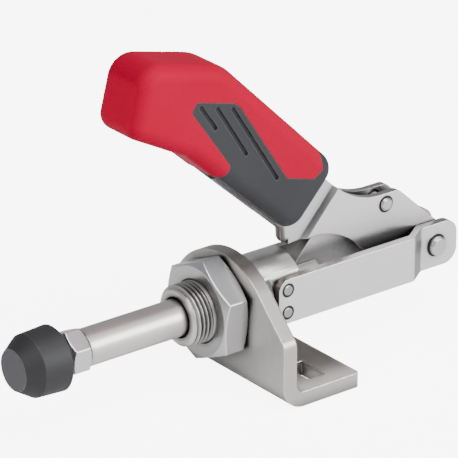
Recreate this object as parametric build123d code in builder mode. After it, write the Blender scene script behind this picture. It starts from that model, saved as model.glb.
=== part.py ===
from build123d import *
from math import atan2, cos, degrees, radians, sin
import os

# Push-pull toggle clamp on an angle foot: the lever swings up and back, and the plunger draws in.
# Origin: underside of the foot, midway between its two bolt slots. The plunger points along -X,
# the foot runs back along +X, +Z is up. Millimetres throughout.
# Stations given as "_at" are distances behind the front face of the upright, and heights given as
# "_up" are heights above the plunger axis, so that they read straight off the side view.

os.makedirs("parts", exist_ok=True)

# Angle bracket
sheet = 5.0
foot_length = 30.0
foot_width = 65.0
axis_height = 25.0
crown_up = 17.6
near_slant = 20.5
near_slant_up = 9.1
near_shoulder_up = -2.9
far_slant = 20.0
far_slant_up = 6.8
far_shoulder_up = -14.0
shoulder_radius = 4.0
bend_radius = 3.0
slot_setback = 17.6
slot_length = 11.5
slot_width = 6.5
slot_spacing = 42.0
foot_corner = 1.2

# Guide body, its thread and nut
thread_diameter = 20.0
thread_reach = 16.5
thread_chamfer = 1.2
shoulder_diameter = 24.8
guide_length = 19.3
bracket_bore_clearance = 0.2
mouth_diameter = 13.2
mouth_depth = 1.6
nut_flats = 30.0
nut_height = 9.0
nut_chamfer = 1.3
nut_face_inset = 0.6
nut_bore_chamfer = 0.5
hex_turn = 36.0

# Plunger, clamping screw and cap
rod_diameter = 12.0
rod_running_clearance = 0.04
rod_front = 53.0
rod_chamfer = 0.5
screw_diameter = 8.0
screw_depth = 20.0
screw_tip_gap = 1.0
small_flats = 13.0
lock_nut_height = 6.5
lock_nut_chamfer = 0.7
lock_nut_face_inset = 0.3
screw_head_height = 5.3
cap_rear_gap = 2.8
cap_length = 15.0
cap_diameter = 21.0
cap_face_diameter = 13.4
cap_cone_length = 5.2
cap_draft = 0.5
cap_lip = 0.5
cap_floor = 5.0
cap_screw_clearance = 0.2

# Side straps, their rivets and the rear pivot
strap_sheet = 2.8
strap_height = 15.0
strap_front_at = 14.3
strap_front_radius = 4.0
strap_flat_depth = 3.2
joggle_at = 69.3
joggle_run = 6.6
tab_gap = 9.4
tab_corner = 5.0
joggle_radius = 2.5
pivot_at = 82.3
pivot_diameter = 6.4
pivot_proud = 2.0
tab_beyond_pivot = 8.6
rivet_diameter = 3.4
rivet_at = 17.9
rivet_spacing = 7.6
rivet_proud = 0.25
flat_lead = 2.0

# Folded lever
lever_sheet = 2.4
fold_gap = 0.2
side_clearance = 0.3
lever_eye_radius = 6.9
toggle_eye_radius = 6.8
arm = 17.0
lever_width = 21.3
lever_joggle_run = 1.2
lever_joggle_at = 31.3
lever_joggle_up = 16.5
lever_lean = 42.0
nose_gap = 1.8
nose_at = 22.9
neck_up = 21.9
neck_corner_radius = 3.5
neck_slope = 42.6
neck_dip = ((61.5, 21.9), (52.5, 23.6), (44.6, 28.2))
arch = ((34.5, 15.2), (43.4, 13.2), (53.9, 5.3))
handle_root = (9.3, 31.5)
tang_length = 39.0
nose_length = 19.0
nose_bend_radius = 3.2
fold_shown = 17.0
stop_pin_diameter = 4.4
stop_pin_back = 18.9
stop_pin_up = 18.3
stop_pin_proud = 0.9

# Link and its pins
link_reach = 35.3
link_eye_radius = 5.3
link_crown_up = 15.0
link_arch_up = 2.0
link_crown_radius = 4.0
link_slope = 48.0
hinge_pin_diameter = 6.0
pin_running_clearance = 0.04
fork_beyond_pin = 7.0
fork_throat = 4.8
fork_pin_inset = 0.9
toggle_pin_proud = 0.5

# Handle: hard grip with a soft insert
grip_width = 20.6
grip_edge = 4.8
insert_depth = 2.0
inlay_corner = 1.2
fold_bared = 0.8
groove_width = 1.4
groove_depth = 0.8
grooves = (((-14.5, 72.0), (-9.1, 64.2)), ((-8.3, 70.2), (2.6, 52.9)), ((-2.5, 68.8), (14.5, 41.9)))

# Corners of the handle's side view, each with the radius that rounds it
handle_corners = (
    ((40.0, 39.1), 6.0),
    ((22.2, 20.0), 6.5),
    ((-17.2, 55.7), 10.0),
    ((-39.9, 67.75), 5.0),
    ((-34.1, 89.9), 8.0),
    ((-4.4, 82.7), 16.0),
)

# The seam between the two materials: round the lower end, and a shallow inlay up both sides
seam_heel = ((-3.6, 50.7), (-4.2, 48.3), (-6.0, 46.9), (-10.4, 47.3), (-10.4, 0.0))
seam_tongue = ((18.6, 40.8), (29.2, 37.8), (32.6, 40.1), (32.5, 45.2), (40.0, 52.0))
seam_inlay = ((0.7, 68.3), (-1.5, 70.4), (-15.9, 74.2), (-18.0, 71.2))
seam_end = ((40.0, 0.0), (60.0, 40.0))

# Longer than any side of the clamp, for shapes that are trimmed afterwards
clear_past = 150.0

# Places that follow from the sizes above
strap_gap = shoulder_diameter - 2 * strap_flat_depth
rivet_grip = (strap_gap - rod_diameter) / 2
upright_x = -slot_setback
pivot_x = upright_x + pivot_at
toggle_x = pivot_x - arm
fork_pin_x = toggle_x - link_reach
rod_tip_x = upright_x - rod_front
link_sheet = tab_gap - 2 * lever_sheet - 4 * side_clearance
neck_half = tab_gap / 2 - side_clearance
fold_half = lever_sheet + fold_gap / 2
fork_gap = link_sheet + 2 * side_clearance
fork_end_x = fork_pin_x + fork_beyond_pin
rod_bore = rod_diameter + 2 * rod_running_clearance
guide_rear_x = upright_x + sheet + guide_length

# The side view, measured from the upright's front face and the plunger axis
side = Plane(origin=(upright_x, 0, axis_height), x_dir=(1, 0, 0), z_dir=(0, -1, 0))
plunger_axis = Axis((0, 0, axis_height), (1, 0, 0))


def across(x):
    """Plane square to the plunger axis at x, looking back."""
    return Plane(origin=(x, 0, axis_height), x_dir=(0, 1, 0), z_dir=(1, 0, 0))


def finish(piece, name):
    """Label a finished piece and write its file."""
    piece.part.label = name
    export_step(piece.part, f"parts/{name}.step")


def chamfered_hexagon(front_x, flats, height, chamfer_run, face_inset, bore):
    """Hexagon nut on the plunger axis with both faces chamfered to a round."""
    with BuildPart() as nut:
        with BuildSketch(across(front_x)):
            RegularPolygon(radius=flats / 2, side_count=6, major_radius=False, rotation=hex_turn)
            Circle(bore / 2, mode=Mode.SUBTRACT)
        extrude(amount=height)
        corner = flats / 2 / cos(radians(30))
        rim = flats / 2 - face_inset
        with BuildSketch(side):
            with BuildLine():
                start = front_x - upright_x
                Polyline(
                    (start, 0),
                    (start, rim),
                    (start + chamfer_run, corner),
                    (start + height - chamfer_run, corner),
                    (start + height, rim),
                    (start + height, 0),
                    close=True,
                )
            make_face()
        revolve(axis=plunger_axis, mode=Mode.INTERSECT)
        rings = nut.edges().filter_by(GeomType.CIRCLE)
        chamfer(rings.filter_by(lambda ring: ring.radius < bore / 2 + nut_bore_chamfer), nut_bore_chamfer)
    return nut


# Angle bracket: one folded sheet, upright crown over the thread, two slots in the foot
with BuildPart() as angle_bracket:
    with BuildSketch(side) as bracket_profile:
        with BuildLine():
            Polyline(
                (0, crown_up),
                (0, -axis_height),
                (foot_length, -axis_height),
                (foot_length, sheet - axis_height),
                (sheet, sheet - axis_height),
                (sheet, crown_up),
                close=True,
            )
        make_face()
        heel = (0, -axis_height)
        fillet(bracket_profile.vertices().sort_by_distance(heel)[0], bend_radius + sheet)
        inner_bend = (sheet, sheet - axis_height)
        fillet(bracket_profile.vertices().sort_by_distance(inner_bend)[0], bend_radius)
    extrude(amount=foot_width / 2, both=True)
    with BuildSketch(across(upright_x)) as front_view:
        with BuildLine():
            Polyline(
                (far_slant, far_slant_up),
                (foot_width / 2, far_shoulder_up),
                (foot_width / 2, -axis_height),
                (-foot_width / 2, -axis_height),
                (-foot_width / 2, near_shoulder_up),
                (-near_slant, near_slant_up),
            )
            ThreePointArc((-near_slant, near_slant_up), (0, crown_up), (far_slant, far_slant_up))
        make_face()
        for shoulder in ((-foot_width / 2, near_shoulder_up), (foot_width / 2, far_shoulder_up)):
            fillet(front_view.vertices().sort_by_distance(shoulder)[0], shoulder_radius)
    extrude(amount=foot_length, mode=Mode.INTERSECT)
    foot_corners = angle_bracket.edges().filter_by(Axis.Z).group_by(Axis.X)[-1]
    fillet(foot_corners, foot_corner)
    with BuildSketch(across(upright_x)):
        Circle(thread_diameter / 2 + bracket_bore_clearance)
    extrude(amount=sheet, mode=Mode.SUBTRACT)
    with BuildSketch(Plane.XY):
        with GridLocations(0, slot_spacing, 1, 2):
            Rectangle(slot_width, slot_length)
    extrude(amount=sheet, mode=Mode.SUBTRACT)
finish(angle_bracket, "angle_bracket")

# Guide body: threaded collar in front, shoulder behind the upright, flats for the straps
flat_front_x = upright_x + strap_front_at - flat_lead
with BuildPart() as guide_body:
    front = -thread_reach
    rear = sheet + guide_length
    with BuildSketch(side):
        with BuildLine():
            Polyline(
                (front, mouth_diameter / 2),
                (front, thread_diameter / 2 - thread_chamfer),
                (front + thread_chamfer, thread_diameter / 2),
                (sheet, thread_diameter / 2),
                (sheet, shoulder_diameter / 2),
                (rear, shoulder_diameter / 2),
                (rear, rod_bore / 2),
                (front + mouth_depth, rod_bore / 2),
                (front + mouth_depth, mouth_diameter / 2),
                close=True,
            )
        make_face()
    revolve(axis=plunger_axis)
    with BuildSketch(across(flat_front_x)):
        Rectangle(2 * shoulder_diameter, 2 * shoulder_diameter)
        Rectangle(strap_gap, 2 * shoulder_diameter, mode=Mode.SUBTRACT)
    extrude(amount=guide_rear_x - flat_front_x, mode=Mode.SUBTRACT)
    for direction in (1, -1):
        seat = side.offset(direction * (strap_gap / 2 - rivet_grip))
        with BuildSketch(seat):
            with Locations((rivet_at, rivet_spacing / 2), (rivet_at, -rivet_spacing / 2)):
                Circle(rivet_diameter / 2)
        extrude(amount=direction * rivet_grip, mode=Mode.SUBTRACT)
finish(guide_body, "guide_body")

mounting_nut = chamfered_hexagon(
    upright_x - nut_height, nut_flats, nut_height, nut_chamfer, nut_face_inset, thread_diameter
)
finish(mounting_nut, "mounting_nut")

# Side straps: flat along the guide body, stepped inwards at the back to hold the lever
strap_rear_at = pivot_at + tab_beyond_pivot


def strap(hand):
    """One side strap; hand is -1 for the near side and 1 for the far side."""
    inner = strap_gap / 2
    tab_inner = tab_gap / 2
    bend_end = joggle_at + joggle_run
    with BuildPart() as bar:
        with BuildSketch(Plane((upright_x, 0, axis_height - strap_height / 2))) as plan:
            with BuildLine():
                Polyline(
                    (strap_front_at, hand * inner),
                    (joggle_at, hand * inner),
                    (bend_end, hand * tab_inner),
                    (strap_rear_at, hand * tab_inner),
                    (strap_rear_at, hand * (tab_inner + strap_sheet)),
                    (bend_end, hand * (tab_inner + strap_sheet)),
                    (joggle_at, hand * (inner + strap_sheet)),
                    (strap_front_at, hand * (inner + strap_sheet)),
                    close=True,
                )
            make_face()
            bends = plan.vertices().filter_by_position(Axis.X, joggle_at - 0.1, bend_end + 0.1)
            fillet(bends, joggle_radius)
        extrude(amount=strap_height)
        across_edges = bar.edges().filter_by(Axis.Y)
        fillet(across_edges.group_by(Axis.X)[-1], tab_corner)
        fillet(across_edges.group_by(Axis.X)[0], strap_front_radius)
        with BuildSketch(side):
            with Locations((rivet_at, rivet_spacing / 2), (rivet_at, -rivet_spacing / 2)):
                Circle(rivet_diameter / 2)
            with Locations((pivot_at, 0)):
                Circle(pivot_diameter / 2)
        extrude(amount=foot_width / 2, both=True, mode=Mode.SUBTRACT)
    return bar


finish(strap(-1), "near_strap")
finish(strap(1), "far_strap")


def cross_pin(at, up, diameter, half_length, edge):
    """Straight pin across the clamp with both rims broken."""
    with BuildPart() as pin:
        with BuildSketch(side):
            with Locations((at, up)):
                Circle(diameter / 2)
        extrude(amount=half_length, both=True)
        chamfer(pin.edges().filter_by(GeomType.CIRCLE), edge)
    return pin


def rivet(hand, up):
    """One short rivet through a strap into the guide body."""
    with BuildPart() as stub:
        with BuildSketch(side.offset(-hand * (strap_gap / 2 - rivet_grip))):
            with Locations((rivet_at, up)):
                Circle(rivet_diameter / 2)
        extrude(amount=-hand * (rivet_grip + strap_sheet + rivet_proud))
        chamfer(stub.edges().filter_by(GeomType.CIRCLE).sort_by(Axis.Y)[-1 if hand > 0 else 0], rivet_proud)
    return stub


for hand, hand_name in ((-1, "near"), (1, "far")):
    for up, level_name in ((rivet_spacing / 2, "upper"), (-rivet_spacing / 2, "lower")):
        finish(rivet(hand, up), f"{hand_name}_{level_name}_rivet")

tab_outer = tab_gap / 2 + strap_sheet
pivot_pin = cross_pin(pivot_at, 0, pivot_diameter, tab_outer + pivot_proud, rod_chamfer)
finish(pivot_pin, "pivot_pin")

# Plunger: round rod, tapped in front, forked behind for the link
toggle_at = pivot_at - arm
fork_pin_at = toggle_at - link_reach
fork_end_at = fork_pin_at + fork_beyond_pin
with BuildPart() as plunger_rod:
    with BuildSketch(across(rod_tip_x)):
        Circle(rod_diameter / 2)
    extrude(amount=fork_end_x - rod_tip_x)
    chamfer(plunger_rod.edges().filter_by(GeomType.CIRCLE), rod_chamfer)
    with BuildSketch(across(rod_tip_x)):
        Circle(screw_diameter / 2)
    extrude(amount=screw_depth, mode=Mode.SUBTRACT)
    throat_at = fork_pin_at - link_eye_radius - fork_throat
    with BuildSketch(side):
        with Locations(((throat_at + fork_end_at) / 2, 0)):
            Rectangle(fork_end_at - throat_at, 2 * rod_diameter)
    extrude(amount=fork_gap / 2, both=True, mode=Mode.SUBTRACT)
    with BuildSketch(side):
        with Locations((fork_pin_at, 0)):
            Circle(hinge_pin_diameter / 2)
    extrude(amount=rod_diameter, both=True, mode=Mode.SUBTRACT)
finish(plunger_rod, "plunger_rod")

# Fork pin: its two ends sit in the fork cheeks and its middle in the link
with BuildPart() as fork_pin_ends:
    with BuildSketch(side.offset(fork_gap / 2)):
        with Locations((fork_pin_at, 0)):
            Circle(hinge_pin_diameter / 2)
    extrude(amount=(rod_diameter - fork_gap) / 2 - fork_pin_inset)
    mirror(about=Plane.XZ)
finish(fork_pin_ends, "fork_pin_ends")

with BuildPart() as fork_pin_middle:
    with BuildSketch(side):
        with Locations((fork_pin_at, 0)):
            Circle(hinge_pin_diameter / 2)
    extrude(amount=link_sheet / 2, both=True)
finish(fork_pin_middle, "fork_pin_middle")

# Clamping screw, its lock nut and the rubber cap pushed over its head
lock_nut = chamfered_hexagon(
    rod_tip_x - lock_nut_height,
    small_flats,
    lock_nut_height,
    lock_nut_chamfer,
    lock_nut_face_inset,
    screw_diameter,
)
finish(lock_nut, "lock_nut")

cap_rear_x = rod_tip_x - lock_nut_height - cap_rear_gap
cap_front_x = cap_rear_x - cap_length
head_front_x = cap_front_x + cap_floor
head_rear_x = head_front_x + screw_head_height
with BuildPart() as clamping_screw:
    with BuildSketch(across(head_front_x)):
        RegularPolygon(radius=small_flats / 2, side_count=6, major_radius=False, rotation=hex_turn)
    extrude(amount=screw_head_height)
    with BuildSketch(across(head_rear_x)):
        Circle(screw_diameter / 2)
    extrude(amount=rod_tip_x + screw_depth - screw_tip_gap - head_rear_x)
    chamfer(clamping_screw.edges().filter_by(GeomType.CIRCLE).sort_by(Axis.X)[-1], rod_chamfer)
finish(clamping_screw, "clamping_screw")

with BuildPart() as rubber_cap:
    with BuildSketch(side):
        with BuildLine():
            cap_front = cap_front_x - upright_x
            cap_rear = cap_rear_x - upright_x
            Polyline(
                (cap_front, 0),
                (cap_front, cap_face_diameter / 2),
                (cap_front + cap_cone_length, cap_diameter / 2 - cap_draft),
                (cap_rear - cap_lip, cap_diameter / 2),
                (cap_rear, cap_diameter / 2 - cap_lip),
                (cap_rear, 0),
                close=True,
            )
        make_face()
    revolve(axis=plunger_axis)
    with BuildSketch(across(head_front_x)):
        RegularPolygon(radius=small_flats / 2, side_count=6, major_radius=False, rotation=hex_turn)
    extrude(amount=screw_head_height, mode=Mode.SUBTRACT)
    with BuildSketch(across(head_rear_x)):
        Circle(screw_diameter / 2 + cap_screw_clearance)
    extrude(amount=cap_length, mode=Mode.SUBTRACT)
finish(rubber_cap, "rubber_cap")

# Lever: one sheet folded tight along its lower edge, its two plates stepped apart for the link.
# The fold line leans down towards the nose; the step runs square to it.
fold_run = Vector(cos(radians(lever_lean)), -sin(radians(lever_lean)))
fold_square = Vector(sin(radians(lever_lean)), cos(radians(lever_lean)))
nose_up = shoulder_diameter / 2 + nose_gap
stop_pin_at = pivot_at - stop_pin_back


def along_fold(distance, depth=0.0):
    """Point in the side view: distance down the fold from the handle root, depth above the fold."""
    return tuple(Vector(*handle_root) + fold_run * distance + fold_square * depth)[:2]


def tangent_corner(eye_at, eye_radius, slope, up, turn):
    """Where a line sloping off an eye on the axis meets a height, and where it leaves the eye."""
    leaves = (eye_at + turn * eye_radius * sin(radians(slope)), eye_radius * cos(radians(slope)))
    run = (up - leaves[1]) / sin(radians(slope))
    return leaves, (leaves[0] - turn * run * cos(radians(slope)), up)


nose_centre = (nose_at + fold_half, nose_up + fold_half)
eye_tangent, neck_corner = tangent_corner(pivot_at, lever_eye_radius, neck_slope, neck_up, 1)
with BuildSketch(side) as lever_outline:
    with BuildLine():
        tang = Polyline(
            along_fold(-tang_length, lever_width),
            along_fold(-tang_length, fold_half),
            along_fold(nose_length, fold_half),
            nose_centre,
            (nose_centre[0], nose_up),
            arch[0],
        )
        ThreePointArc(*arch)
        Polyline(
            arch[-1],
            (toggle_at, -toggle_eye_radius / 2),
            (pivot_at, 0),
            eye_tangent,
            neck_corner,
            neck_dip[0],
        )
        ThreePointArc(*neck_dip)
        Line(neck_dip[-1], tang @ 0)
    make_face()
    fillet(lever_outline.vertices().sort_by_distance(neck_corner)[0], neck_corner_radius)
    with BuildSketch(mode=Mode.PRIVATE) as eyes:
        with Locations((toggle_at, 0)):
            Circle(toggle_eye_radius)
        with Locations((pivot_at, 0)):
            Circle(lever_eye_radius)
        make_hull()
    add(eyes.sketch)

joggle_plane = Plane(
    origin=(upright_x + lever_joggle_at, 0, axis_height + lever_joggle_up),
    x_dir=(fold_run.X, 0, fold_run.Y),
    z_dir=(fold_square.X, 0, fold_square.Y),
)
with BuildPart() as lever:
    with BuildSketch(joggle_plane):
        with BuildLine():
            Polyline(
                (-clear_past, fold_gap / 2),
                (0, fold_gap / 2),
                (lever_joggle_run, neck_half - lever_sheet),
                (clear_past, neck_half - lever_sheet),
                (clear_past, neck_half),
                (lever_joggle_run, neck_half),
                (0, fold_half),
                (-clear_past, fold_half),
                close=True,
            )
        make_face()
        mirror(about=Plane.XZ)
    extrude(amount=clear_past, both=True)
    extrude(lever_outline.sketch, amount=foot_width, both=True, mode=Mode.INTERSECT)
    with BuildLine(side) as fold_path:
        FilletPolyline(
            along_fold(-fold_shown, fold_half),
            along_fold(nose_length, fold_half),
            nose_centre,
            radius=nose_bend_radius,
        )
    fold_line = fold_path.line
    with BuildSketch(Plane(origin=fold_line @ 0, z_dir=fold_line % 0)):
        Circle(fold_half)
    sweep(path=fold_line)
    with Locations(Location(fold_line @ 1)):
        Sphere(fold_half)
    with BuildSketch(side):
        with Locations((pivot_at, 0)):
            Circle(pivot_diameter / 2 + pin_running_clearance)
        with Locations((toggle_at, 0)):
            Circle(hinge_pin_diameter / 2)
        with Locations((stop_pin_at, stop_pin_up)):
            Circle(stop_pin_diameter / 2)
    extrude(amount=foot_width, both=True, mode=Mode.SUBTRACT)
finish(lever, "lever")

stop_pin = cross_pin(stop_pin_at, stop_pin_up, stop_pin_diameter, neck_half + stop_pin_proud, rod_chamfer)
finish(stop_pin, "stop_pin")
toggle_pin = cross_pin(toggle_at, 0, hinge_pin_diameter, neck_half + toggle_pin_proud, rod_chamfer)
finish(toggle_pin, "toggle_pin")

# Link: humped plate between the lever's toggle pin and the fork
front_tangent, crown_front = tangent_corner(fork_pin_at, link_eye_radius, link_slope, link_crown_up, -1)
rear_tangent, crown_rear = tangent_corner(toggle_at, link_eye_radius, link_slope, link_crown_up, 1)
link_middle = (fork_pin_at + toggle_at) / 2
with BuildPart() as link:
    with BuildSketch(side) as link_outline:
        with BuildLine():
            Polyline(
                (fork_pin_at, -link_eye_radius),
                (fork_pin_at, 0),
                front_tangent,
                crown_front,
                crown_rear,
                rear_tangent,
                (toggle_at, 0),
                (toggle_at, -link_eye_radius),
            )
            ThreePointArc(
                (toggle_at, -link_eye_radius), (link_middle, link_arch_up), (fork_pin_at, -link_eye_radius)
            )
        make_face()
        for crown in (crown_front, crown_rear):
            fillet(link_outline.vertices().sort_by_distance(crown)[0], link_crown_radius)
        with Locations((fork_pin_at, 0), (toggle_at, 0)):
            Circle(link_eye_radius)
        with Locations((fork_pin_at, 0)):
            Circle(hinge_pin_diameter / 2, mode=Mode.SUBTRACT)
        with Locations((toggle_at, 0)):
            Circle(hinge_pin_diameter / 2 + pin_running_clearance, mode=Mode.SUBTRACT)
    extrude(amount=link_sheet / 2, both=True)
finish(link, "link")

# Handle: hard grip moulded over the tang, with a soft insert round its lower end and up its sides
with BuildPart() as handle_blank:
    with BuildSketch(side) as handle_outline:
        with BuildLine():
            Polyline(*[corner for corner, radius in handle_corners], close=True)
        make_face()
        for corner, radius in handle_corners:
            fillet(handle_outline.vertices().sort_by_distance(corner)[0], radius)
    extrude(amount=grip_width / 2, both=True)
    rims = handle_blank.faces().filter_by(Axis.Y).edges()
    fillet(rims, grip_edge)

with BuildPart() as tang_pocket:
    extrude(lever_outline.sketch, amount=fold_half, both=True)
    with BuildSketch(Plane(origin=fold_line @ 0, z_dir=fold_line % 0)):
        Circle(fold_half)
    sweep(path=fold_line)

with BuildPart() as insert_space:
    with BuildSketch(side) as lower_end:
        with BuildLine():
            Polyline(*reversed(seam_tongue), *seam_heel, *seam_end, close=True)
        make_face()
    extrude(amount=grip_width, both=True)
    with BuildSketch(side) as inlay_outline:
        with BuildLine():
            Polyline(seam_heel[0], seam_tongue[0], *seam_inlay, close=True)
        make_face()
        for corner in seam_inlay:
            fillet(inlay_outline.vertices().sort_by_distance(corner)[0], inlay_corner)
    extrude(inlay_outline.sketch, amount=grip_width, both=True)
    under_inlay = inlay_outline.sketch - lower_end.sketch
    extrude(under_inlay, amount=grip_width / 2 - insert_depth, both=True, mode=Mode.SUBTRACT)

with BuildPart() as handle_grip:
    add(handle_blank.part)
    add(insert_space.part, mode=Mode.SUBTRACT)
    add(tang_pocket.part, mode=Mode.SUBTRACT)
finish(handle_grip, "handle_grip")

with BuildPart() as soft_insert:
    add(handle_blank.part)
    add(insert_space.part, mode=Mode.INTERSECT)
    add(tang_pocket.part, mode=Mode.SUBTRACT)
    for hand in (1, -1):
        with BuildSketch(side.offset(hand * grip_width / 2)):
            for top, foot in grooves:
                run = Vector(*foot) - Vector(*top)
                with Locations((Vector(*foot) + Vector(*top)) * 0.5):
                    SlotCenterToCenter(run.length, groove_width, rotation=degrees(atan2(run.Y, run.X)))
        extrude(amount=-hand * groove_depth, mode=Mode.SUBTRACT)
    with BuildSketch(side):
        with BuildLine():
            Polyline(
                along_fold(-tang_length, fold_bared),
                along_fold(nose_length + insert_depth, fold_bared),
                along_fold(nose_length + insert_depth, -lever_width),
                along_fold(-tang_length, -lever_width),
                close=True,
            )
        make_face()
    extrude(amount=grip_width, both=True, mode=Mode.SUBTRACT)
finish(soft_insert, "soft_insert")
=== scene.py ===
import math

import bmesh
import bpy
from mathutils import Matrix, Vector


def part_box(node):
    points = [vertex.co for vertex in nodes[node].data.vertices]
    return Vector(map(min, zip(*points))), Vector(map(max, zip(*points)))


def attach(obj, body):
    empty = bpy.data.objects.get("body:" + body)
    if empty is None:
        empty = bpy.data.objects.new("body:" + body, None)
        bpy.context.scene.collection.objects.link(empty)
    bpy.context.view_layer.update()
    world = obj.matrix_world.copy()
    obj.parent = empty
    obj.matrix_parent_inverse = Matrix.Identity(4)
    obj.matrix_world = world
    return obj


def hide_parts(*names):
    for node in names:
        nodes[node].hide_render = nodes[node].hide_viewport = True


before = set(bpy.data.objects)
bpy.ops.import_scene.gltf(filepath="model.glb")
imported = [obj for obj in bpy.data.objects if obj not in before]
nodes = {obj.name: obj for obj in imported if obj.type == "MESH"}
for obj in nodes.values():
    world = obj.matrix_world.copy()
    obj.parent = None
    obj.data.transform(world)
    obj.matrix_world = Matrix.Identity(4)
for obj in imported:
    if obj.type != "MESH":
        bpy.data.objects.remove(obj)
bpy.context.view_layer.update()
print("frame loaded:", len(nodes), "nodes")

cameraValues = {
    "place": (-0.64482, -0.81373, 0.50383),
    "right": (0.79016, -0.61291, 0.0),
    "up": (0.24753, 0.31912, 0.91482),
    "lens": 287.58,
    "sensor": 36,
    "clip": (0.05, 20),
}


def makeCamera(values):
    data = bpy.data.cameras.new("camera")
    data.lens = values["lens"]
    data.sensor_width = values["sensor"]
    data.clip_start, data.clip_end = values["clip"]
    camera = bpy.data.objects.new("camera", data)
    right = Vector(values["right"])
    up = Vector(values["up"])
    turn = Matrix((right, up, right.cross(up))).transposed()
    camera.matrix_world = Matrix.Translation(values["place"]) @ turn.to_4x4()
    bpy.context.scene.collection.objects.link(camera)
    bpy.context.scene.camera = camera


makeCamera(cameraValues)

# Three soft lamps, in metres and watts
lampValues = {
    "sideLamp": {"place": (0.45, -0.95, 0.50), "aim": (0.02, 0.0, 0.03), "size": (0.9, 0.6), "watts": 13.0},
    "topLamp": {"place": (-0.05, -0.35, 0.90), "aim": (0.0, 0.0, 0.03), "size": (0.7, 0.5), "watts": 5.5},
    "frontLamp": {"place": (-0.9, -0.30, 0.55), "aim": (0.0, 0.0, 0.03), "size": (0.5, 0.5), "watts": 2.2},
}


def makeLamp(name, values):
    data = bpy.data.lights.new(name, "AREA")
    data.shape = "RECTANGLE"
    data.size, data.size_y = values["size"]
    data.energy = values["watts"]
    lamp = bpy.data.objects.new(name, data)
    lamp.location = values["place"]
    beam = Vector(values["aim"]) - Vector(values["place"])
    lamp.rotation_euler = beam.to_track_quat("-Z", "Y").to_euler()
    bpy.context.scene.collection.objects.link(lamp)


for lampName, lampSet in lampValues.items():
    makeLamp(lampName, lampSet)

worldValues = {"colour": (0.95, 0.97, 1.0), "light": 0.38, "backdrop": 7.5}


# The room lights the clamp softly, and looks as pale behind it as the floor
def makeWorld(values):
    world = bpy.data.worlds.new("studio")
    world.use_nodes = True
    bpy.context.scene.world = world
    tree = world.node_tree
    soft = tree.nodes["Background"]
    soft.inputs["Color"].default_value = values["colour"] + (1,)
    soft.inputs["Strength"].default_value = values["light"]
    pale = tree.nodes.new("ShaderNodeBackground")
    pale.inputs["Color"].default_value = (1, 1, 1, 1)
    pale.inputs["Strength"].default_value = values["backdrop"]
    path = tree.nodes.new("ShaderNodeLightPath")
    blend = tree.nodes.new("ShaderNodeMixShader")
    tree.links.new(path.outputs["Is Camera Ray"], blend.inputs[0])
    tree.links.new(soft.outputs[0], blend.inputs[1])
    tree.links.new(pale.outputs[0], blend.inputs[2])
    tree.links.new(blend.outputs[0], tree.nodes["World Output"].inputs["Surface"])


makeWorld(worldValues)
print("camera and light placed")


def newMaterial(name):
    material = bpy.data.materials.new(name)
    material.use_nodes = True
    tree = material.node_tree
    return material, tree, tree.nodes["Principled BSDF"]


def addNode(tree, kind, settings=None, **inputs):
    node = tree.nodes.new(kind)
    for key, value in (settings or {}).items():
        setattr(node, key, value)
    for key, value in inputs.items():
        node.inputs[key].default_value = value
    return node


# An input's kind follows from its starting value, an output's is given
def newGroup(name, inputs, outputs):
    group = bpy.data.node_groups.new(name, "ShaderNodeTree")
    for label, value in inputs.items():
        kind = "NodeSocketVector" if isinstance(value, tuple) else "NodeSocketFloat"
        socket = group.interface.new_socket(name=label, in_out="INPUT", socket_type=kind)
        socket.default_value = value
    for label, kind in outputs.items():
        group.interface.new_socket(name=label, in_out="OUTPUT", socket_type="NodeSocket" + kind)
    return group, group.nodes.new("NodeGroupInput"), group.nodes.new("NodeGroupOutput")


def placeGroup(tree, group, **inputs):
    return addNode(tree, "ShaderNodeGroup", {"node_tree": group}, **inputs)


# Links a socket to another node's output, or sets it to a plain value
def feed(tree, socket, value):
    if hasattr(value, "is_output"):
        tree.links.new(value, socket)
    else:
        socket.default_value = value


# On a Mix node for colours, the factor and the two colours are inputs 0, 6 and 7, and the result is output 2
def mixColour(tree, blend, factor, first, second):
    node = addNode(tree, "ShaderNodeMix", {"data_type": "RGBA", "blend_type": blend})
    for place, value in ((0, factor), (6, first), (7, second)):
        feed(tree, node.inputs[place], value)
    return node.outputs[2]


def mathNode(tree, operation, first, second=0.0, third=0.0, clamp=False):
    node = addNode(tree, "ShaderNodeMath", {"operation": operation, "use_clamp": clamp})
    for place, value in enumerate((first, second, third)):
        feed(tree, node.inputs[place], value)
    return node.outputs[0]


def vectorNode(tree, operation, first, second=(0, 0, 0), result="Vector"):
    node = addNode(tree, "ShaderNodeVectorMath", {"operation": operation})
    for place, value in enumerate((first, second)):
        feed(tree, node.inputs[place], value)
    return node.outputs[result]


def noiseNode(tree, place, **inputs):
    node = addNode(tree, "ShaderNodeTexNoise", **inputs)
    tree.links.new(place, node.inputs["Vector"])
    return node


def objectPlace(tree):
    return addNode(tree, "ShaderNodeTexCoord").outputs["Object"]


# Wear and its painted highlight start and are full where the cosine between the rounded normal and the face's
# own falls to these
edgeWearAndHighlightValues = {
    "width": 0.0004, "samples": 6, "start": 0.998, "full": 0.965,
    "breakup": 400.0, "breakupDetail": 3.0, "breakupGain": 1.5,
}
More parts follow.
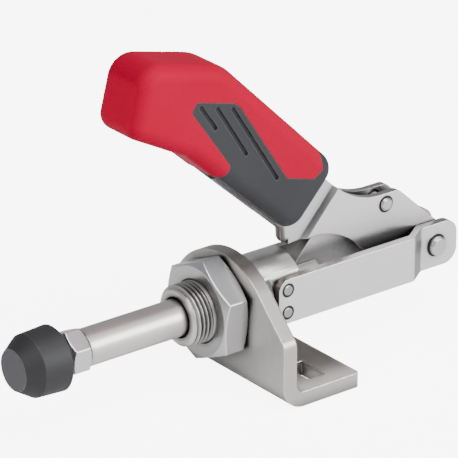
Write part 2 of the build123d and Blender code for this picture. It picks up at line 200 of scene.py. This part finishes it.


# Edge wear and painted highlight: 1 along worn edges that also get a painted highlight, broken up by a noise,
# and a normal that rounds them
def makeEdgeWearAndHighlight(values):
    group, ins, outs = newGroup(
        "edgeWearAndHighlight", {"Width": values["width"], "Breakup": values["breakup"]},
        {"Mask": "Float", "Round": "Vector"},
    )
    bevel = addNode(group, "ShaderNodeBevel", {"samples": values["samples"]})
    group.links.new(ins.outputs["Width"], bevel.inputs["Radius"])
    geometry = addNode(group, "ShaderNodeNewGeometry")
    alike = vectorNode(group, "DOT_PRODUCT", bevel.outputs[0], geometry.outputs["Normal"], "Value")
    ramp = addNode(group, "ShaderNodeMapRange")
    ramp.inputs["From Min"].default_value = values["start"]
    ramp.inputs["From Max"].default_value = values["full"]
    group.links.new(alike, ramp.inputs["Value"])
    noise = noiseNode(group, objectPlace(group), Detail=values["breakupDetail"])
    group.links.new(ins.outputs["Breakup"], noise.inputs["Scale"])
    broken = mathNode(group, "MULTIPLY", noise.outputs["Fac"], values["breakupGain"])
    mask = mathNode(group, "MULTIPLY", ramp.outputs["Result"], broken, clamp=True)
    group.links.new(mask, outs.inputs["Mask"])
    group.links.new(bevel.outputs[0], outs.inputs["Round"])
    return group


gapShadeValues = {"reach": 0.004, "depth": 1.3, "samples": 6}


# Gap shade: 1 on open faces, falling towards 0 in gaps narrower than the reach
def makeGapShade(values):
    group, ins, outs = newGroup(
        "gapShade", {"Reach": values["reach"], "Depth": values["depth"]}, {"Open": "Float"}
    )
    occlusion = addNode(group, "ShaderNodeAmbientOcclusion", {"samples": values["samples"]})
    group.links.new(ins.outputs["Reach"], occlusion.inputs["Distance"])
    openness = mathNode(group, "POWER", occlusion.outputs["AO"], ins.outputs["Depth"])
    group.links.new(openness, outs.inputs["Open"])
    return group


# Every grain group gives a fine grain and a broad cloud
grainOutputs = {"Grain": "Float", "Cloud": "Float"}
cloudDetail = 3.0
brushedValues = {
    "stretch": (1.0, 1.0, 1.0), "scale": 1400.0, "detail": 4.0, "roughness": 0.65,
    "cloudScale": 70.0, "cloudRoughness": 0.55,
}


# Brushed grain: fine streaks, longest along the axis with the smallest stretch
def makeBrushed(values):
    group, ins, outs = newGroup(
        "brushedGrain", {"Stretch": values["stretch"], "Scale": values["scale"]}, grainOutputs
    )
    place = objectPlace(group)
    stretched = vectorNode(group, "MULTIPLY", place, ins.outputs["Stretch"])
    grain = noiseNode(group, stretched, Detail=values["detail"], Roughness=values["roughness"])
    group.links.new(ins.outputs["Scale"], grain.inputs["Scale"])
    cloud = noiseNode(
        group, place, Scale=values["cloudScale"], Detail=cloudDetail, Roughness=values["cloudRoughness"]
    )
    group.links.new(grain.outputs["Fac"], outs.inputs["Grain"])
    group.links.new(cloud.outputs["Fac"], outs.inputs["Cloud"])
    return group


turnedValues = {"pitch": 0.0002, "detail": 3.0, "roughness": 0.7, "cloudScale": 90.0}


# Turned rings: fine tool marks square to the plunger's axis
def makeTurned(values):
    group, ins, outs = newGroup("turnedRings", {"Pitch": values["pitch"]}, grainOutputs)
    place = objectPlace(group)
    split = addNode(group, "ShaderNodeSeparateXYZ")
    group.links.new(place, split.inputs[0])
    line = addNode(
        group, "ShaderNodeTexNoise", {"noise_dimensions": "1D"}, Scale=1.0, Detail=values["detail"],
        Roughness=values["roughness"],
    )
    group.links.new(mathNode(group, "DIVIDE", split.outputs["X"], ins.outputs["Pitch"]), line.inputs["W"])
    cloud = noiseNode(group, place, Scale=values["cloudScale"], Detail=cloudDetail)
    group.links.new(line.outputs["Fac"], outs.inputs["Grain"])
    group.links.new(cloud.outputs["Fac"], outs.inputs["Cloud"])
    return group


stippleValues = {"scale": 1800.0, "detail": 2.0, "roughness": 0.6, "cloudScale": 45.0}


# Moulded grain: the fine stipple of a moulded skin
def makeStipple(values):
    group, ins, outs = newGroup("mouldedStipple", {"Scale": values["scale"]}, grainOutputs)
    place = objectPlace(group)
    fine = noiseNode(group, place, Detail=values["detail"], Roughness=values["roughness"])
    group.links.new(ins.outputs["Scale"], fine.inputs["Scale"])
    cloud = noiseNode(group, place, Scale=values["cloudScale"], Detail=cloudDetail)
    group.links.new(fine.outputs["Fac"], outs.inputs["Grain"])
    group.links.new(cloud.outputs["Fac"], outs.inputs["Cloud"])
    return group


ringMarkValues = {"centre": (0.0, 0.0, 0.0), "radius": 0.002, "width": 0.0004, "gain": 2.0}


# Ring mark: the dark gap round a pin that runs straight across the clamp
def makeRingMark(values):
    group, ins, outs = newGroup(
        "ringMark", {"Centre": values["centre"], "Radius": values["radius"], "Width": values["width"]},
        {"Mask": "Float"},
    )
    offset = vectorNode(group, "SUBTRACT", objectPlace(group), ins.outputs["Centre"])
    flat = vectorNode(group, "MULTIPLY", offset, (1, 0, 1))
    reach = vectorNode(group, "LENGTH", flat, result="Value")
    away = mathNode(group, "ABSOLUTE", mathNode(group, "SUBTRACT", reach, ins.outputs["Radius"]))
    share = mathNode(group, "DIVIDE", away, ins.outputs["Width"])
    near = mathNode(group, "SUBTRACT", 1.0, share, clamp=True)
    group.links.new(mathNode(group, "MULTIPLY", near, values["gain"], clamp=True), outs.inputs["Mask"])
    return group


# These limits let every face through, and steepness is how sharply one cuts off
facingValues = {"axis": (0.0, 0.0, 1.0), "low": -1.0, "high": 2.0, "steepness": 12.0}


# Facing: 1 where the object's own normal, along one axis either way, lies between two limits
def makeFacing(values):
    group, ins, outs = newGroup(
        "facing", {"Axis": values["axis"], "Low": values["low"], "High": values["high"]}, {"Mask": "Float"}
    )
    normal = addNode(group, "ShaderNodeTexCoord").outputs["Normal"]
    cosine = vectorNode(group, "DOT_PRODUCT", normal, ins.outputs["Axis"], "Value")
    along = mathNode(group, "ABSOLUTE", cosine)
    pastLow = mathNode(group, "SUBTRACT", along, ins.outputs["Low"])
    above = mathNode(group, "MULTIPLY", pastLow, values["steepness"], clamp=True)
    shortOfHigh = mathNode(group, "SUBTRACT", ins.outputs["High"], along)
    below = mathNode(group, "MULTIPLY", shortOfHigh, values["steepness"], clamp=True)
    group.links.new(mathNode(group, "MULTIPLY", above, below), outs.inputs["Mask"])
    return group


edgeWearAndHighlight = makeEdgeWearAndHighlight(edgeWearAndHighlightValues)
gapShade = makeGapShade(gapShadeValues)
brushedGrain = makeBrushed(brushedValues)
turnedRings = makeTurned(turnedValues)
mouldedStipple = makeStipple(stippleValues)
ringMark = makeRingMark(ringMarkValues)
facing = makeFacing(facingValues)

# Grain moves the surface between two tones, and worn, highlit edges are smoother by edgePolish
surfaceValues = {"grainDark": (0.5, 0.5, 0.5, 1), "grainLight": (1.3, 1.3, 1.3, 1), "edgePolish": 0.4}


def surfaceColour(tree, values, pattern, wornAndHighlit):
    cloud, grain = pattern.outputs["Cloud"], pattern.outputs["Grain"]
    clouded = mixColour(tree, "MIX", cloud, values["dark"] + (1,), values["light"] + (1,))
    tone = mixColour(tree, "MIX", grain, surfaceValues["grainDark"], surfaceValues["grainLight"])
    streaked = mixColour(tree, "MULTIPLY", values["streak"], clouded, tone)
    # Wear and painted highlight: the lighter edge colour goes along worn edges
    edged = mixColour(tree, "MIX", wornAndHighlit, streaked, values["edge"] + (1,))
    # Painted shade: the gap colour darkens narrow gaps, corners and faces close to other parts, as far as the
    # gap shade reaches
    gap = values["gap"] + (1,)
    openness = placeGroup(tree, gapShade, Reach=values["gapReach"], Depth=values["gapDepth"])
    colour = mixColour(tree, "MIX", openness.outputs["Open"], gap, edged)
    for pin in values.get("rings", ()):
        low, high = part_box(pin)
        radius = (high.x - low.x) / 2 + values["ringWidth"] / 2
        ring = placeGroup(tree, ringMark, Centre=(low + high) / 2, Radius=radius, Width=values["ringWidth"])
        colour = mixColour(tree, "MIX", ring.outputs["Mask"], colour, gap)
    # Painted light and shade: each colour multiplies the faces its facing mask picks, darker below 1 and
    # lighter above 1
    for faceLight in values.get("paintedFaceLight", ()):
        side = placeGroup(tree, facing, **faceLight["faces"])
        colour = mixColour(tree, "MULTIPLY", side.outputs["Mask"], colour, faceLight["colour"] + (1,))
    return colour


def finishSurface(tree, shader, values, pattern):
    grain = pattern.outputs["Grain"]
    wearAndHighlight = placeGroup(tree, edgeWearAndHighlight, Width=values["wearWidth"])
    wornAndHighlit = wearAndHighlight.outputs["Mask"]
    tree.links.new(surfaceColour(tree, values, pattern, wornAndHighlit), shader.inputs["Base Color"])
    smoothest = values["roughness"] - values["roughSpread"] / 2
    rough = mathNode(tree, "MULTIPLY_ADD", grain, values["roughSpread"], smoothest)
    polish = mathNode(tree, "MULTIPLY_ADD", wornAndHighlit, -surfaceValues["edgePolish"], 1.0)
    tree.links.new(mathNode(tree, "MULTIPLY", rough, polish), shader.inputs["Roughness"])
    bump = addNode(tree, "ShaderNodeBump", Strength=values["bump"], Distance=values["bumpDepth"])
    tree.links.new(grain, bump.inputs["Height"])
    tree.links.new(wearAndHighlight.outputs["Round"], bump.inputs["Normal"])
    tree.links.new(bump.outputs["Normal"], shader.inputs["Normal"])


# Turned steel has a pitch, every other steel the stretch of its brushing
def makeSteel(name, values):
    material, tree, shader = newMaterial(name)
    shader.inputs["Metallic"].default_value = 1.0
    if "pitch" in values:
        pattern = placeGroup(tree, turnedRings, Pitch=values["pitch"])
    else:
        pattern = placeGroup(tree, brushedGrain, Stretch=values["stretch"])
    finishSurface(tree, shader, values, pattern)
    return material


def makeMoulded(name, values):
    material, tree, shader = newMaterial(name)
    shader.inputs["Specular IOR Level"].default_value = values["specular"]
    finishSurface(tree, shader, values, placeGroup(tree, mouldedStipple, Scale=values["scale"]))
    return material


# In each finish, dark and light are its clouding, edge its worn edges with their painted highlight, and gap
# the painted shade in its narrow gaps and the dark of the rings round pins. Streak is how much the grain
# shows in the colour, and the brushing runs along the least stretch. Each painted face light multiplies the
# colour of the faces that the facing group picks, painting shade where it is below 1 and light where it is
# above. Lengths are in metres.
bracketSteelValues = {
    "dark": (0.54, 0.52, 0.50), "light": (0.64, 0.62, 0.60), "edge": (0.92, 0.91, 0.90),
    "gap": (0.05, 0.045, 0.04), "gapReach": 0.004, "gapDepth": 1.3, "wearWidth": 0.0006,
    "streak": 0.28, "roughness": 0.40, "roughSpread": 0.14, "bump": 0.14, "bumpDepth": 0.00005,
    "stretch": (1.0, 1.0, 0.15),
    # Painted shade: the faces facing up or down are darker
    "paintedFaceLight": [{"faces": {"Axis": (0, 0, 1), "Low": 0.8}, "colour": (0.72, 0.69, 0.67)}],
}
bracketSteel = makeSteel("platedSheetSteel", bracketSteelValues)

strapSteelValues = {
    "dark": (0.86, 0.86, 0.885), "light": (0.93, 0.93, 0.955), "edge": (0.98, 0.98, 0.98),
    "gap": (0.05, 0.043, 0.036), "gapReach": 0.014, "gapDepth": 1.3, "wearWidth": 0.0004,
    "streak": 0.22, "roughness": 0.36, "roughSpread": 0.12, "bump": 0.10, "bumpDepth": 0.00004,
    "stretch": (0.12, 1.0, 1.0),
    "rings": ("near_upper_rivet", "near_lower_rivet", "pivot_pin"), "ringWidth": 0.00055,
    # Painted shade: faces across the sheet, such as its edges and top, are darker, and the sloped faces
    # darker still
    "paintedFaceLight": [
        {"faces": {"Axis": (0, 1, 0), "High": 0.5}, "colour": (0.60, 0.56, 0.53)},
        {"faces": {"Axis": (0, 1, 0), "Low": 0.5, "High": 0.93}, "colour": (0.42, 0.40, 0.40)},
    ],
}
strapSteel = makeSteel("platedStrapSteel", strapSteelValues)

leverSteelValues = dict(strapSteelValues, stretch=(0.6, 1.0, 0.6), rings=("stop_pin",))
leverSteel = makeSteel("platedLeverSteel", leverSteelValues)

linkSteelValues = dict(
    strapSteelValues, dark=(0.74, 0.73, 0.73), light=(0.82, 0.81, 0.81), stretch=(0.6, 1.0, 0.6), rings=(),
    gapReach=0.006,
)
linkSteel = makeSteel("platedLinkSteel", linkSteelValues)

turnedSteelValues = {
    "dark": (0.70, 0.675, 0.655), "light": (0.80, 0.775, 0.755), "edge": (0.92, 0.91, 0.90),
    "gap": (0.03, 0.027, 0.024), "gapReach": 0.0025, "gapDepth": 2.4, "wearWidth": 0.0003,
    "streak": 0.14, "roughness": 0.38, "roughSpread": 0.10, "bump": 0.07, "bumpDepth": 0.00003,
    "pitch": 0.00025,
}
turnedSteel = makeSteel("turnedSteel", turnedSteelValues)

nutSteelValues = {
    "dark": (0.62, 0.61, 0.615), "light": (0.72, 0.71, 0.715), "edge": (1.0, 1.0, 1.0),
    "gap": (0.04, 0.035, 0.03), "gapReach": 0.003, "gapDepth": 1.3, "wearWidth": 0.0006,
    "streak": 0.12, "roughness": 0.30, "roughSpread": 0.08, "bump": 0.06, "bumpDepth": 0.00003,
    "stretch": (0.15, 1.0, 1.0),
    # Painted light: the faces across the x axis, round the nut, are lighter
    "paintedFaceLight": [{"faces": {"Axis": (1, 0, 0), "High": 0.5}, "colour": (1.15, 1.16, 1.18)}],
}
nutSteel = makeSteel("nutSteel", nutSteelValues)

pinSteelValues = {
    "dark": (0.60, 0.60, 0.60), "light": (0.70, 0.70, 0.70), "edge": (0.92, 0.92, 0.92),
    "gap": (0.03, 0.03, 0.03), "gapReach": 0.001, "gapDepth": 1.0, "wearWidth": 0.0003,
    "streak": 0.2, "roughness": 0.30, "roughSpread": 0.1, "bump": 0.08, "bumpDepth": 0.00003,
    "stretch": (1.0, 1.0, 1.0),
}
pinSteel = makeSteel("pinSteel", pinSteelValues)

rivetSteelValues = dict(pinSteelValues, dark=(0.36, 0.355, 0.34), light=(0.46, 0.455, 0.44), roughness=0.40)
rivetSteel = makeSteel("rivetSteel", rivetSteelValues)

hardGripValues = {
    "dark": (0.44, 0.0, 0.026), "light": (0.49, 0.0, 0.034), "edge": (0.53, 0.0, 0.042),
    "gap": (0.12, 0.0, 0.0), "gapReach": 0.001, "gapDepth": 0.7, "wearWidth": 0.0005,
    "streak": 0.06, "roughness": 0.42, "roughSpread": 0.08, "bump": 0.10, "bumpDepth": 0.00005,
    "scale": 2200.0, "specular": 0.04,
    # Painted light: the faces facing along x are lighter
    "paintedFaceLight": [{"faces": {"Axis": (1, 0, 0), "Low": 0.88}, "colour": (1.28, 1.28, 1.2)}],
}
hardGrip = makeMoulded("redHardGrip", hardGripValues)

softGripValues = {
    "dark": (0.018, 0.019, 0.022), "light": (0.031, 0.032, 0.036), "edge": (0.08, 0.08, 0.09),
    "gap": (0.004, 0.004, 0.004), "gapReach": 0.001, "gapDepth": 0.7, "wearWidth": 0.0005,
    "streak": 0.25, "roughness": 0.55, "roughSpread": 0.15, "bump": 0.25, "bumpDepth": 0.00006,
    "scale": 2600.0, "specular": 0.4,
}
softGrip = makeMoulded("blackSoftGrip", softGripValues)

capRubberValues = {
    "dark": (0.018, 0.018, 0.020), "light": (0.028, 0.028, 0.031), "edge": (0.055, 0.055, 0.058),
    "gap": (0.004, 0.004, 0.004), "gapReach": 0.001, "gapDepth": 0.7, "wearWidth": 0.0006,
    "streak": 0.2, "roughness": 0.55, "roughSpread": 0.12, "bump": 0.2, "bumpDepth": 0.00006,
    "scale": 2400.0, "specular": 0.5,
    # Painted light on the faces facing along x, and painted shade on the slanted faces
    "paintedFaceLight": [
        {"faces": {"Axis": (1, 0, 0), "Low": 0.9}, "colour": (4.2, 4.1, 4.1)},
        {"faces": {"Axis": (1, 0, 0), "Low": 0.3, "High": 0.8}, "colour": (0.95, 0.90, 0.90)},
    ],
}
capRubber = makeMoulded("capRubber", capRubberValues)

finishOf = {
    "angle_bracket": bracketSteel, "guide_body": turnedSteel, "mounting_nut": nutSteel,
    "near_strap": strapSteel, "far_strap": strapSteel,
    "near_upper_rivet": rivetSteel, "near_lower_rivet": rivetSteel,
    "far_upper_rivet": rivetSteel, "far_lower_rivet": rivetSteel,
    "pivot_pin": pinSteel, "plunger_rod": turnedSteel, "fork_pin_ends": pinSteel, "fork_pin_middle": pinSteel,
    "lock_nut": nutSteel, "clamping_screw": nutSteel, "rubber_cap": capRubber,
    "lever": leverSteel, "stop_pin": pinSteel, "toggle_pin": pinSteel, "link": linkSteel,
    "handle_grip": hardGrip, "soft_insert": softGrip,
}
for nodeName, material in finishOf.items():
    for slot in nodes[nodeName].material_slots:
        slot.material = material
print("materials placed")

# The guide body again, with its collar cut away in front of the nut and made new with a real thread.
# The profile is one ridge, as shares of the pitch and of the thread's depth. The thread starts lead pitches
# ahead of the collar's front and has spare turns, which are cut off with the rest that stands over.
collarValues = {
    "clearOfNut": 0.0006, "crest": 0.010, "threadDepth": 0.00092, "pitch": 0.0015, "steps": 96,
    "profile": (
        (0, 0), (0.2, 0), (0.29, 0.25), (0.37, 0.5), (0.46, 0.75),
        (0.54, 1), (0.66, 1), (0.75, 0.75), (0.83, 0.5), (0.92, 0.25),
    ),
    "lead": 1.6, "spareTurns": 3,
    "frontRadius": 0.0086, "frontSlope": 1.1,
    "mouthRadius": 0.0066, "mouthDepth": 0.0016, "boreRadius": 0.00604,
    "edgeRound": 0.00018, "edgeSegments": 2, "merge": 0.000002, "sharpAngle": 32,
}
nutLow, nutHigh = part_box("mounting_nut")
axisHeight = (nutLow.z + nutHigh.z) / 2
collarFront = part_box("guide_body")[0].x
collarCut = nutLow.x - collarValues["clearOfNut"]


# A vertex's way out from the plunger's axis, square to it
def outward(vert):
    return Vector((0, vert.co.y, vert.co.z - axisHeight))


def setRadius(vert, x, radius):
    out = outward(vert).normalized() * radius
    vert.co = (x, out.y, out.z + axisHeight)


# Extrudes an open rim to a ring of its own place and radius, and gives the new rim
def ringFrom(shell, rim, x, radius):
    made = bmesh.ops.extrude_edge_only(shell, edges=rim)["geom"]
    for vert in made:
        if isinstance(vert, bmesh.types.BMVert):
            setRadius(vert, x, radius)
    return [edge for edge in made if isinstance(edge, bmesh.types.BMEdge) and edge.is_boundary]


# Cuts a shell across at x, drops its front or its rear, and gives the open rim
def cutAcross(shell, x, front=False, rear=False):
    everything = list(shell.verts) + list(shell.edges) + list(shell.faces)
    made = bmesh.ops.bisect_plane(
        shell, geom=everything, plane_co=(x, 0, 0), plane_no=(1, 0, 0), clear_inner=front, clear_outer=rear
    )
    return [edge for edge in made["geom_cut"] if isinstance(edge, bmesh.types.BMEdge)]


# The spin climbs a pitch in its one turn, so each ridge ends where the next one starts, and they are merged
def spinThread(values):
    shell = bmesh.new()
    profile = []
    for turn in range(math.ceil((collarCut - collarFront) / values["pitch"]) + values["spareTurns"]):
        start = collarFront + (turn - values["lead"]) * values["pitch"]
        for share, level in values["profile"]:
            radius = values["crest"] + (level - 1) * values["threadDepth"]
            profile.append(shell.verts.new((start + share * values["pitch"], 0, axisHeight + radius)))
    edges = [shell.edges.new(pair) for pair in zip(profile, profile[1:])]
    bmesh.ops.spin(
        shell, geom=profile + edges, cent=(0, 0, axisHeight), axis=(1, 0, 0),
        dvec=(values["pitch"] / values["steps"], 0, 0), angle=2 * math.pi, steps=values["steps"],
    )
    bmesh.ops.remove_doubles(shell, verts=shell.verts, dist=values["merge"])
    return shell


def makeCollar(values):
    shell = spinThread(values)
    for vert in shell.verts:
        limit = values["frontRadius"] + max(0.0, vert.co.x - collarFront) * values["frontSlope"]
        if outward(vert).length > limit:
            setRadius(vert, vert.co.x, limit)
    cutAcross(shell, collarFront, front=True)
    cutAcross(shell, collarCut, rear=True)
    middle = (collarFront + collarCut) / 2
    frontRim = [edge for edge in shell.edges if edge.is_boundary and edge.verts[0].co.x < middle]
    rearRim = [edge for edge in shell.edges if edge.is_boundary and edge.verts[0].co.x > middle]
    mouthEnd = collarFront + values["mouthDepth"]
    mouthRim = ringFrom(shell, frontRim, collarFront, values["mouthRadius"])
    stepRim = ringFrom(shell, mouthRim, mouthEnd, values["mouthRadius"])
    boreRim = ringFrom(shell, stepRim, mouthEnd, values["boreRadius"])
    innerRim = ringFrom(shell, boreRim, collarCut, values["boreRadius"])
    bmesh.ops.bridge_loops(shell, edges=rearRim + innerRim)
    bmesh.ops.bevel(
        shell, geom=frontRim + mouthRim, offset=values["edgeRound"], affect="EDGES",
        segments=values["edgeSegments"], profile=0.5, material=-1, clamp_overlap=True,
    )
    bmesh.ops.recalc_face_normals(shell, faces=shell.faces)
    return shell


def makeGuide(values):
    shell = bmesh.new()
    shell.from_mesh(nodes["guide_body"].data)
    bmesh.ops.remove_doubles(shell, verts=shell.verts, dist=values["merge"])
    bmesh.ops.bridge_loops(shell, edges=cutAcross(shell, collarCut, front=True))
    bmesh.ops.recalc_face_normals(shell, faces=shell.faces)
    collar = makeCollar(values)
    mesh = bpy.data.meshes.new("threaded_guide")
    collar.to_mesh(mesh)
    collar.free()
    shell.from_mesh(mesh)
    shell.to_mesh(mesh)
    shell.free()
    for polygon in mesh.polygons:
        polygon.use_smooth = True
    mesh.set_sharp_from_angle(angle=math.radians(values["sharpAngle"]))
    mesh.materials.append(turnedSteel)
    guide = bpy.data.objects.new("threaded_guide", mesh)
    bpy.context.scene.collection.objects.link(guide)
    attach(guide, "frame")
    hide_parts("guide_body")
    print("threaded guide:", len(mesh.polygons), "faces")


makeGuide(collarValues)

floorValues = {
    "size": 6.0, "colour": (0.92, 0.92, 0.92), "roughness": 0.7, "glow": 7.0,
    "patchShade": 0.985, "patchScale": 3.0, "patchDetail": 2.0,
}


def makeFloor(values):
    mesh = bpy.data.meshes.new("floor")
    sheet = bmesh.new()
    bmesh.ops.create_grid(sheet, x_segments=1, y_segments=1, size=values["size"] / 2)
    sheet.to_mesh(mesh)
    sheet.free()
    floor = bpy.data.objects.new("floor", mesh)
    bpy.context.scene.collection.objects.link(floor)
    material, tree, shader = newMaterial("paleFloor")
    noise = noiseNode(tree, objectPlace(tree), Scale=values["patchScale"], Detail=values["patchDetail"])
    patch = tuple(channel * values["patchShade"] for channel in values["colour"]) + (1,)
    shade = mixColour(tree, "MIX", noise.outputs["Fac"], patch, values["colour"] + (1,))
    tree.links.new(shade, shader.inputs["Base Color"])
    shader.inputs["Roughness"].default_value = values["roughness"]
    # The floor looks pale itself, and casts no extra light up at the clamp
    path = addNode(tree, "ShaderNodeLightPath")
    glow = mixColour(tree, "MIX", path.outputs["Is Camera Ray"], (0, 0, 0, 1), (1, 1, 1, 1))
    tree.links.new(glow, shader.inputs["Emission Color"])
    shader.inputs["Emission Strength"].default_value = values["glow"]
    mesh.materials.append(material)
    print("floor laid")


makeFloor(floorValues)
